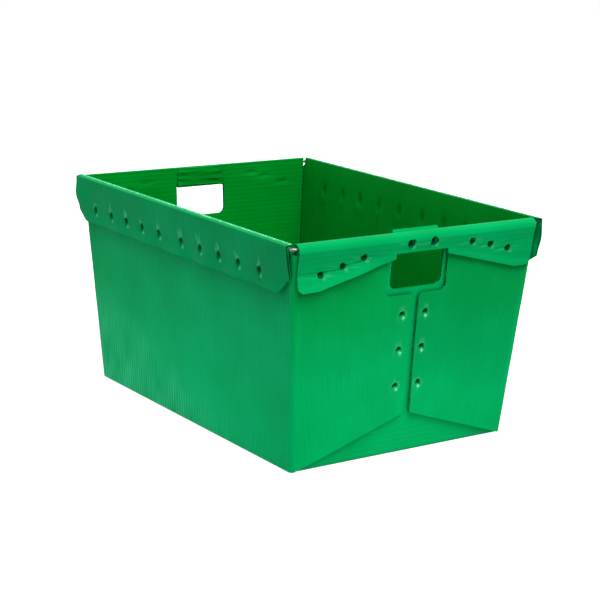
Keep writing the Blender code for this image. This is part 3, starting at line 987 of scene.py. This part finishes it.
def end_flange(which):
    """Rim of an end: over the wire and down over the corner flaps, notched at the hand hole."""
    wall = ENDS[which]
    beyond = END_PROFILE.beyond
    top = beyond(288 * MM)
    places = [(a, beyond(b)) for a, b in millimetres(END_WELDS[which])]
    grips = [(a, beyond(b)) for a, b in millimetres(GRIP_WELDS)]
    waves = soft_noise("flange" + which, 36 * MM)
    wrinkles = soft_noise("creases" + which, 8 * MM)
    flip = 1 if which == "near" else -1

    def lowest(a):
        return beyond(0.27) + (0.27 - flange_edge(np.abs(a)))

    def shape(a, b, n):
        level, height = END_PROFILE.at(b, n)
        below = np.clip(end_crease(a * flip) - height, 0, 30 * MM)
        below = below * (1 - ramp(a * flip, -90 * MM, -60 * MM))
        flared = 0.21 * below * ramp(b, top - 1 * MM, top + 1 * MM)
        hold = weld_hills(a, b, places + grips, 12 * MM, 7 * MM)
        hanging = ramp(b, END_PROFILE.shoulder + 4 * MM, END_PROFILE.shoulder + 20 * MM)
        lift = 0.8 * MM * hanging * (1 - hold) * (0.7 + 0.5 * waves(a, b))
        lift = lift + 1.4 * MM * ramp(b, lowest(a) - 10 * MM, lowest(a))
        hung = ramp(b, END_PROFILE.shoulder, END_PROFILE.shoulder + 20 * MM)
        lift = lift - 1.7 * MM * (1 - n / SHEET) * hung
        creases = 0.0
        for x, place in places:
            near_weld = bump(a - x, 22 * MM) * ramp(np.abs(a - x), 4 * MM, 9 * MM)
            fold_line = bump(b - place, 1.5 * MM) - bump(b - place - 5 * MM, 2 * MM)
            creases = creases + near_weld * fold_line
        lift = lift - 0.45 * MM * creases * hanging
        line = beyond(266 * MM) + 266 * MM - end_crease(a * flip)
        lift = lift - 1.3 * MM * bump(b - line, 1.1 * MM) * (1 - ramp(a * flip, -95 * MM, -75 * MM))
        level = level + flared + lift + 0.06 * MM * wrinkles(a, b) * hanging
        return wall.place(a, level, height)

    # Whitening by strain along short creases beside the welds, and a painted highlight fleck low in each
    # weld pit.
    def stress_and_highlight(a, b, n):
        marks = np.zeros_like(a)
        for x, place in places + grips:
            offset = b - place + 0.12 * (a - x) * np.sign(a)
            beside = ramp(np.abs(a - x), 4 * MM, 8 * MM)
            marks = marks + 0.22 * bump(offset, 0.8 * MM) * bump(a - x, 15 * MM) * beside
            marks = marks + 0.2 * bump(np.hypot(a - x - 4.6 * MM, b - place - 4.6 * MM), 2.0 * MM)
        return marks

    # Painted shade: the hanging face darker, and on one half a dark line in the crease of the flared
    # lip, with the lip below it left light.
    def deep(a, b, n):
        below = b - beyond(266 * MM) - 266 * MM + end_crease(a * flip)
        here = 1 - ramp(a * flip, -100 * MM, -80 * MM)
        face = 0.5 * ramp(b - END_PROFILE.shoulder, -2 * MM, 10 * MM)
        return face * (1 - here * ramp(below, 0, 2 * MM)) + here * bump(below, 1.3 * MM)

    def corner(a, height, radius):
        return (flip * a * MM, beyond(height * MM)), radius * MM

    corners = [
        ((-192.5 * MM * flip, END_PROFILE.split), 0),
        corner(-192.5, 243, 9),
        corner(-158, 244.5, 20),
        corner(-42, 272.5, 1),
        corner(-42, 279.4, 1),
        corner(42, 279.4, 1),
        corner(42, 272.5, 1),
        corner(160, 242.5, 12),
        corner(186.5, 243.5, 9),
        corner(189.5, 282, 12),
        ((192 * MM * flip, END_PROFILE.split), 0),
    ]
    outline = rounded([point for point, _ in corners], [radius for _, radius in corners])
    low = beyond(240 * MM)
    fine = (
        (END_PROFILE.split - 1 * MM, END_PROFILE.shoulder + 4 * MM),
        (beyond(278 * MM), beyond(263 * MM)),
    )
    across, cells = flute_cells(END_PROFILE.split - 1 * MM, low + 2 * MM, fine)
    along = steps_between(-198 * MM, 198 * MM, 3.6 * MM)
    flat = flat_sheet(across, cells, along, "flange" + which)
    welds = [(a, b, *END_WELD) for a, b in places] + [(a, b, *GRIP_WELD) for a, b in grips]
    name = "end_rim_flange_sheet_" + which
    nodes = ["end_rim_flange_" + which]
    looks = {"stress_and_highlight": stress_and_highlight, "deep": deep}
    sheet_piece(name, flat, outline, shape, nodes, True, looks, welds=welds, face=-1)


def grip_tab(which):
    """Tab of the hand hole, turned in under the hole's top edge and up the inside of the end."""
    wall = ENDS[which]
    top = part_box("grip_tab_" + which)[1].z
    reach = SHEET + GAP / 2
    start = HOLE_TOP - GAP
    low = start - TAB_LEAD
    turns = [math.pi * step / 12 for step in range(13)]
    skins = []
    for radius in (GAP / 2, reach):
        line = [(radius - GAP / 2, start)]
        line += [(radius * math.cos(t) - GAP / 2, low - radius * math.sin(t)) for t in turns]
        line.append((-radius - GAP / 2, top + 3 * MM))
        skins.append(line)
    profile = Profile(skins, measured=1)
    end = profile.length[-1] - 3 * MM
    waves = soft_noise("tab" + which, 24 * MM)
    ridges = soft_noise("ridges" + which, 5 * MM)

    def shape(a, b, n):
        level, height = profile.at(b, n)
        up = ramp(b, 8 * MM, 16 * MM)
        out = n / SHEET
        over = np.clip((height - RIM + 2 * MM) / (6 * MM), 0, 1)
        rough = 0.7 * MM * out * up * ridges(a * 0.2, b) * (1 - over)
        level = level - 0.25 * MM * up * (1 + waves(a, b)) - rough
        level = level + 3.4 * MM * out * up * ramp(np.abs(a), TAB_HALF - 16 * MM, TAB_HALF) * (1 - over)
        level = level - 3.8 * MM * (1 - out) * over ** 1.5
        height = height - 1.6 * MM * over
        return wall.place(a, level, np.minimum(height, top))

    corners = [(-TAB_HALF, 0), (TAB_HALF, 0), (TAB_HALF, end), (-TAB_HALF, end)]
    outline = rounded(corners, (0, 0, TAB_CORNER, TAB_CORNER))
    if which == "near":
        torn = [(TAB_HALF, end - 6 * MM), (34 * MM, end - 5 * MM), (33 * MM, end)]
        outline = [corners[0], corners[1], *torn, (1 * MM - TAB_HALF, end), (-TAB_HALF, end - 6 * MM)]
    across, cells = flute_cells(-1 * MM, end + 1 * MM, ((-1 * MM, 15 * MM),))
    along = steps_between(-45 * MM, 45 * MM, 3.6 * MM)
    flat = flat_sheet(across, cells, along, "tab" + which)

    # Painted shade on the upturned part of the tab, except its top 8 mm.
    def deep(a, b, n):
        return 0.6 * ramp(b, 8 * MM, 16 * MM) * (b < end - 8 * MM)

    name = "grip_tab_sheet_" + which
    # The skin facing into the tote takes the yellower painted shade.
    looks = {"deep": deep, "inside": 0.0}
    sheet_piece(name, flat, outline, shape, ["grip_tab_" + which], True, looks)


# ------------------------------------------------------------------ corner flaps

class CornerBend:
    """Bend that wraps a long side's sheet round the upright corner onto the end.

    On the flat sheet w is the distance past the start of the bend and l runs along it.
    """

    def __init__(self, x_sign, y_sign):
        self.signs = np.array([x_sign, y_sign, 1.0])
        self.side_normal = np.array([0, math.cos(SIDE_TILT), -math.sin(SIDE_TILT)])
        self.end_normal = np.array([math.cos(END_TILT), 0, -math.sin(END_TILT)])
        crease = np.array([END_SLOPE, SIDE_SLOPE, 1.0])
        self.crease = crease / np.linalg.norm(crease)
        self.onward = np.cross(self.side_normal, self.crease)
        self.angle = math.acos(float(self.side_normal @ self.end_normal))
        self.axis = np.array([
            BASE_HALF_LENGTH + (FLAP_INNER - CORNER_INSIDE) / math.cos(END_TILT),
            BASE_HALF_WIDTH - CORNER_INSIDE / math.cos(SIDE_TILT),
            0.0,
        ])
        self.middle = CORNER_INSIDE + SHEET / 2
        self.run = self.middle * self.angle
        self.side_lean = math.atan(END_SLOPE * math.cos(SIDE_TILT))
        self.end_lean = math.atan(SIDE_SLOPE * math.cos(END_TILT))

    def turn(self, first, second, angle):
        """Turn flat coordinates by an angle."""
        return (
            first * math.cos(angle) + second * math.sin(angle),
            second * math.cos(angle) - first * math.sin(angle),
        )

    def from_end(self, y, height):
        """Flat place (w, l) of a point on the end wall, with y as its distance from the middle."""
        across = self.axis[1] - y
        up = height / math.cos(END_TILT)
        w = across * math.cos(self.end_lean) + up * math.sin(self.end_lean)
        l = up * math.cos(self.end_lean) - across * math.sin(self.end_lean)
        return w + self.run, l

    def place(self, w, l, n):
        """World points of flat places."""
        angle = np.clip(w / self.middle, 0, self.angle)[:, None]
        before = np.minimum(w, 0)[:, None]
        after = np.maximum(w - self.run, 0)[:, None]
        depth = (CORNER_INSIDE + n)[:, None]
        normal = self.side_normal * np.cos(angle) + self.onward * np.sin(angle)
        far = self.onward * math.cos(self.angle) - self.side_normal * math.sin(self.angle)
        points = self.axis + l[:, None] * self.crease + depth * normal
        points = points + before * self.onward + after * far
        return points * self.signs


FLAP_WELDS = {
    "left": [(-20, 97), (-20, 147), (-20, 195)],
    "right": [(17.5, 97), (17.5, 147), (17.5, 195)],
}


def corner_flap(end, hand):
    """Flap from a long side, round the corner and over half of the end, with its hole cutout."""
    y_sign = -1 if hand == "left" else 1
    bend = CornerBend(1 if end == "near" else -1, y_sign)
    name = "corner_flap_sheet_" + end + "_" + hand
    if hand == "left":
        gap = [(1.8, 70), (4.6, 150), (3.2, 215)]
        cutout = 52
    else:
        gap = [(8.2, 70), (5.6, 150), (4.2, 215)]
        cutout = 47
    floor = 2 * MM / math.cos(END_TILT)
    roof = FLAP_TOP / math.cos(END_TILT)
    points = [((0, floor), 0), ((0, roof), 0)]
    for y, height, radius in (
        (cutout, 293, 0),
        (cutout, 223, 9),
        (gap[2][0], 223, 7),
        (*gap[1], 60),
        (gap[0][0], 57, 7),
    ):
        points.append((bend.from_end(y * MM, height * MM), radius * MM))
    points.append((bend.from_end(BASE_HALF_WIDTH, 2 * MM), 0))
    turned = [bend.turn(w, l, bend.side_lean) for (w, l), _ in points]
    outline = rounded(turned, [radius for _, radius in points])
    welds = []
    for y, height in FLAP_WELDS[hand]:
        w, l = bend.from_end(abs(y) * MM, height * MM)
        welds.append(bend.turn(w, l, bend.side_lean))
    lumps = soft_noise(name, 60 * MM)
    ripples = soft_noise("fine" + name, 19 * MM)
    light_side = 1 if hand == "left" else -1

    def shape(a, b, n):
        w, l = bend.turn(a, b, -bend.side_lean)
        away = ramp(w, bend.run + 6 * MM, bend.run + 45 * MM)
        hold = weld_hills(a, b, welds, 12 * MM, 12 * MM)
        lift = 0.9 * MM * away * (1 - hold) * (0.6 + 0.5 * lumps(a, b))
        lift = lift + 0.10 * MM * away * ripples(a, b)
        lift = np.maximum(lift, 0)
        points = bend.place(w, l, n)
        return points + lift[:, None] * bend.end_normal * bend.signs

    # Whitening by strain in a ring round each weld, and a painted highlight fleck in each weld pit on
    # the side towards the light.
    def stress_and_highlight(a, b, n):
        marks = np.zeros_like(a)
        for x, place in welds:
            ring = bump(np.hypot(a - x, b - place) - 1.5 * FLAP_WELD[0], 0.9 * MM)
            fleck = bump(np.hypot(a - x - light_side * 2.6 * MM, b - place + 4.6 * MM), 1.7 * MM)
            marks = marks + 0.1 * ring + 0.8 * fleck
        return marks

    # Painted shadow just below the lower edge of the end flange.
    def painted_shadow_under_flange(w, l):
        _, y, z = bend.place(w, l, l * 0).T
        return bump(z - flange_edge(np.abs(y)) + 3 * MM, 3 * MM) * (w > bend.run)

    # Painted shade: darker up the flap towards the flange, more on the right-hand flap, and the painted
    # shadow under the flange.
    def deep(a, b, n):
        w, l = bend.turn(a, b, -bend.side_lean)
        past = ramp(w, bend.run, bend.run + 8 * MM)
        if hand == "left":
            shade = 0.25 * ramp(l, 50 * MM, 150 * MM)
        else:
            shade = 0.65 * ramp(l, 10 * MM, 140 * MM)
        return shade * past + painted_shadow_under_flange(w, l)

    # Painted yellower shade, growing up the flap towards the flange and just below the flange's lower
    # edge.
    def painted_warm_shade(a, b):
        w, l = bend.turn(a, b, -bend.side_lean)
        return 0.42 * ramp(l, 110 * MM, 235 * MM) + 0.4 * painted_shadow_under_flange(w, l)

    low_a = min(a for a, b in outline) - 2 * MM
    high_a = max(a for a, b in outline) + 2 * MM
    low_b = min(b for a, b in outline) - 2 * MM
    high_b = max(b for a, b in outline) + 2 * MM
    fine = ((low_a, 38 * MM),)
    across, cells = flute_cells(low_a, high_a, fine)
    along = steps_between(low_b, high_b, 8 * MM, ((236 * MM, 278 * MM, 2 * MM),))
    flat = flat_sheet(across, cells, along, name)
    cups = [(a, b, *FLAP_WELD) for a, b in welds]
    pierced = []
    for y, height in END_WELDS[end]:
        if y * y_sign > 0:
            radius = END_WELD[0] * 0.9
            w, l = bend.from_end(abs(y) * MM, min(height * MM, FLAP_TOP - radius - 1 * MM))
            pierced.append(circle(bend.turn(w, l, bend.side_lean), radius))
    nodes = ["corner_flap_" + end + "_" + hand]
    looks = {"stress_and_highlight": stress_and_highlight, "deep": deep, "painted_warm_shade": painted_warm_shade}
    sheet_piece(name, flat, outline, shape, nodes, looks=looks, welds=cups, holes=pierced)


# ------------------------------------------------------------------ bottom and wire

def bottom_panel():
    """Flat bottom with its flutes across the tote."""
    half_x = bottom_high.x
    half_y = bottom_high.y

    def shape(a, b, n):
        return np.stack([b, a, SHEET - n], axis=-1)

    outline = [(-half_y, -half_x), (half_y, -half_x), (half_y, half_x), (-half_y, half_x)]
    across, cells = flute_cells(-half_x - PITCH, half_x + PITCH)
    along = steps_between(-half_y - 5 * MM, half_y + 5 * MM, 40 * MM)
    flat = flat_sheet(across, cells, along, "bottom", hollow=False)
    nodes = ["bottom_panel"]
    # The top skin takes the yellower painted shade.
    sheet_piece("bottom_panel_sheet", flat, outline, shape, nodes, True, {"inside": SHEET})


def rim_wire():
    """Closed hoop of round drawn wire, with its bends at the four corners."""
    sides = 20
    corner_steps = 14
    line = []
    for x_sign, y_sign, start in ((1, 1, 0), (-1, 1, 1), (-1, -1, 2), (1, -1, 3)):
        centre = Vector((x_sign * (WIRE_X - WIRE_BEND), y_sign * (WIRE_Y - WIRE_BEND), WIRE_HEIGHT))
        for step in range(corner_steps + 1):
            turn = start * QUARTER + QUARTER * step / corner_steps
            out = Vector((math.cos(turn), math.sin(turn), 0))
            line.append((centre + out * WIRE_BEND, out))
    points = []
    flat = []
    run = 0.0
    for index, (place, out) in enumerate(line):
        run += (place - line[index - 1][0]).length if index else 0.0
        for side in range(sides):
            turn = math.tau * side / sides
            spoke = out * math.cos(turn) + Vector((0, 0, 1)) * math.sin(turn)
            points.append(place + spoke * WIRE_RADIUS)
            flat.append((abs(turn - math.pi) * WIRE_RADIUS, run, 0))
    faces = []
    for index in range(len(line)):
        beside = (index + 1) % len(line)
        for side in range(sides):
            after = (side + 1) % sides
            faces.append((
                index * sides + side,
                beside * sides + side,
                beside * sides + after,
                index * sides + after,
            ))
    mesh = bpy.data.meshes.new("rim_wire_drawn")
    mesh.from_pydata(points, [], faces)
    keep_flat(mesh, flat)
    tidy(mesh)
    mesh.shade_smooth()
    mesh.materials.append(STEEL)
    obj = new_object("rim_wire_drawn", mesh)
    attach(obj, "root")
    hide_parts("rim_wire")


bottom_panel()
for side in SIDES:
    side_panel(side)
    side_flange(side)
for end in ENDS:
    end_panel(end)
    end_flange(end)
    grip_tab(end)
    for hand in ("left", "right"):
        corner_flap(end, hand)
rim_wire()


# ------------------------------------------------------------------ studio

FLOOR_REACH = 6.0
FLOOR_GREY = 0.3
FLOOR_GLOW = 0.1
FLOOR_GLOW_TO_CAMERA = 0.95
DOME_STRENGTH = 1.0
SUN_SPREAD = 35
SUN_STRENGTH = 3.4
SUN_PLACE = (1.0, 0.0, 2.2)
AIM = Vector((0, 0, 0.15))
# Name, place, width, power and colour
LOW_LIGHTS = (
    ("low_side_light", (0.0, -0.40, 0.03), 0.6, 0.74, (0.10, 0.62, 1.0)),
    ("low_end_light", (0.47, 0.0, 0.03), 0.4, 0.29, (1, 1, 1)),
)


def white_floor():
    """Floor that looks white to the camera while it throws little light on the tote."""
    mesh = bpy.data.meshes.new("floor")
    corners = [(x * FLOOR_REACH, y * FLOOR_REACH, 0) for x, y in ((-1, -1), (1, -1), (1, 1), (-1, 1))]
    mesh.from_pydata(corners, [], [(0, 1, 2, 3)])
    floor = new_object("floor", mesh)
    paper, tree, shader, add = new_material("white_floor")
    shader.inputs["Base Color"].default_value = (FLOOR_GREY, FLOOR_GREY, FLOOR_GREY, 1)
    shader.inputs["Emission Color"].default_value = (1, 1, 1, 1)
    seen = add("ShaderNodeLightPath").outputs["Is Camera Ray"]
    glow = between(add, seen, FLOOR_GLOW, FLOOR_GLOW_TO_CAMERA)
    tree.links.new(glow, shader.inputs["Emission Strength"])
    shader.inputs["Roughness"].default_value = 0.9
    shader.inputs["Specular IOR Level"].default_value = 0.1
    mesh.materials.append(paper)


def studio():
    """White floor, white dome, soft sun from the near end and two weak strips by the floor."""
    white_floor()
    world = bpy.data.worlds.new("studio")
    world.use_nodes = True
    dome = world.node_tree.nodes["Background"]
    dome.inputs["Color"].default_value = (1, 1, 1, 1)
    dome.inputs["Strength"].default_value = DOME_STRENGTH
    bpy.context.scene.world = world
    bpy.context.scene.view_settings.view_transform = "Standard"
    high = bpy.data.lights.new("high_soft_light", "SUN")
    high.angle = math.radians(SUN_SPREAD)
    high.energy = SUN_STRENGTH
    add_lamp(high, SUN_PLACE)
    for light in LOW_LIGHTS:
        low_light(*light)


def low_light(name, place, wide, power, colour):
    """Strip of light close to the floor that lifts the lower part of one wall."""
    light = bpy.data.lights.new(name, "AREA")
    light.shape = "RECTANGLE"
    light.size = wide
    light.size_y = 0.1
    light.energy = power
    light.color = colour
    add_lamp(light, place)


def add_lamp(light, place):
    """Put a light in the scene, shining on the middle of the tote and hidden from the camera."""
    lamp = bpy.data.objects.new(light.name, light)
    lamp.visible_camera = False
    lamp.location = place
    lamp.rotation_euler = (AIM - Vector(place)).to_track_quat("-Z", "Y").to_euler()
    bpy.context.scene.collection.objects.link(lamp)


AZIMUTH = math.radians(55.01)
ELEVATION = math.radians(13.843)
ROLL = math.radians(1.833)
DISTANCE = 2.435
MIDDLE = Vector((0, 0, 0.1525))
ASIDE = 0.0053
ABOVE = 0.0009
SENSOR = 36.0
LENS = 102.67


def camera():
    """Camera a little above the rim, looking at the corner between a side and an end."""
    back = Vector((
        math.sin(AZIMUTH) * math.cos(ELEVATION),
        -math.cos(AZIMUTH) * math.cos(ELEVATION),
        math.sin(ELEVATION),
    ))
    right = Vector((math.cos(AZIMUTH), math.sin(AZIMUTH), 0))
    up = back.cross(right)
    image_x = right * math.cos(ROLL) + up * math.sin(ROLL)
    image_y = up * math.cos(ROLL) - right * math.sin(ROLL)
    matrix = Matrix((image_x, image_y, back)).transposed().to_4x4()
    matrix.translation = MIDDLE + back * DISTANCE + right * ASIDE + up * ABOVE
    lens = bpy.data.cameras.new("camera")
    lens.sensor_width = SENSOR
    lens.lens = LENS
    view = bpy.data.objects.new("camera", lens)
    view.matrix_world = matrix
    bpy.context.scene.collection.objects.link(view)
    bpy.context.scene.camera = view


studio()
camera()
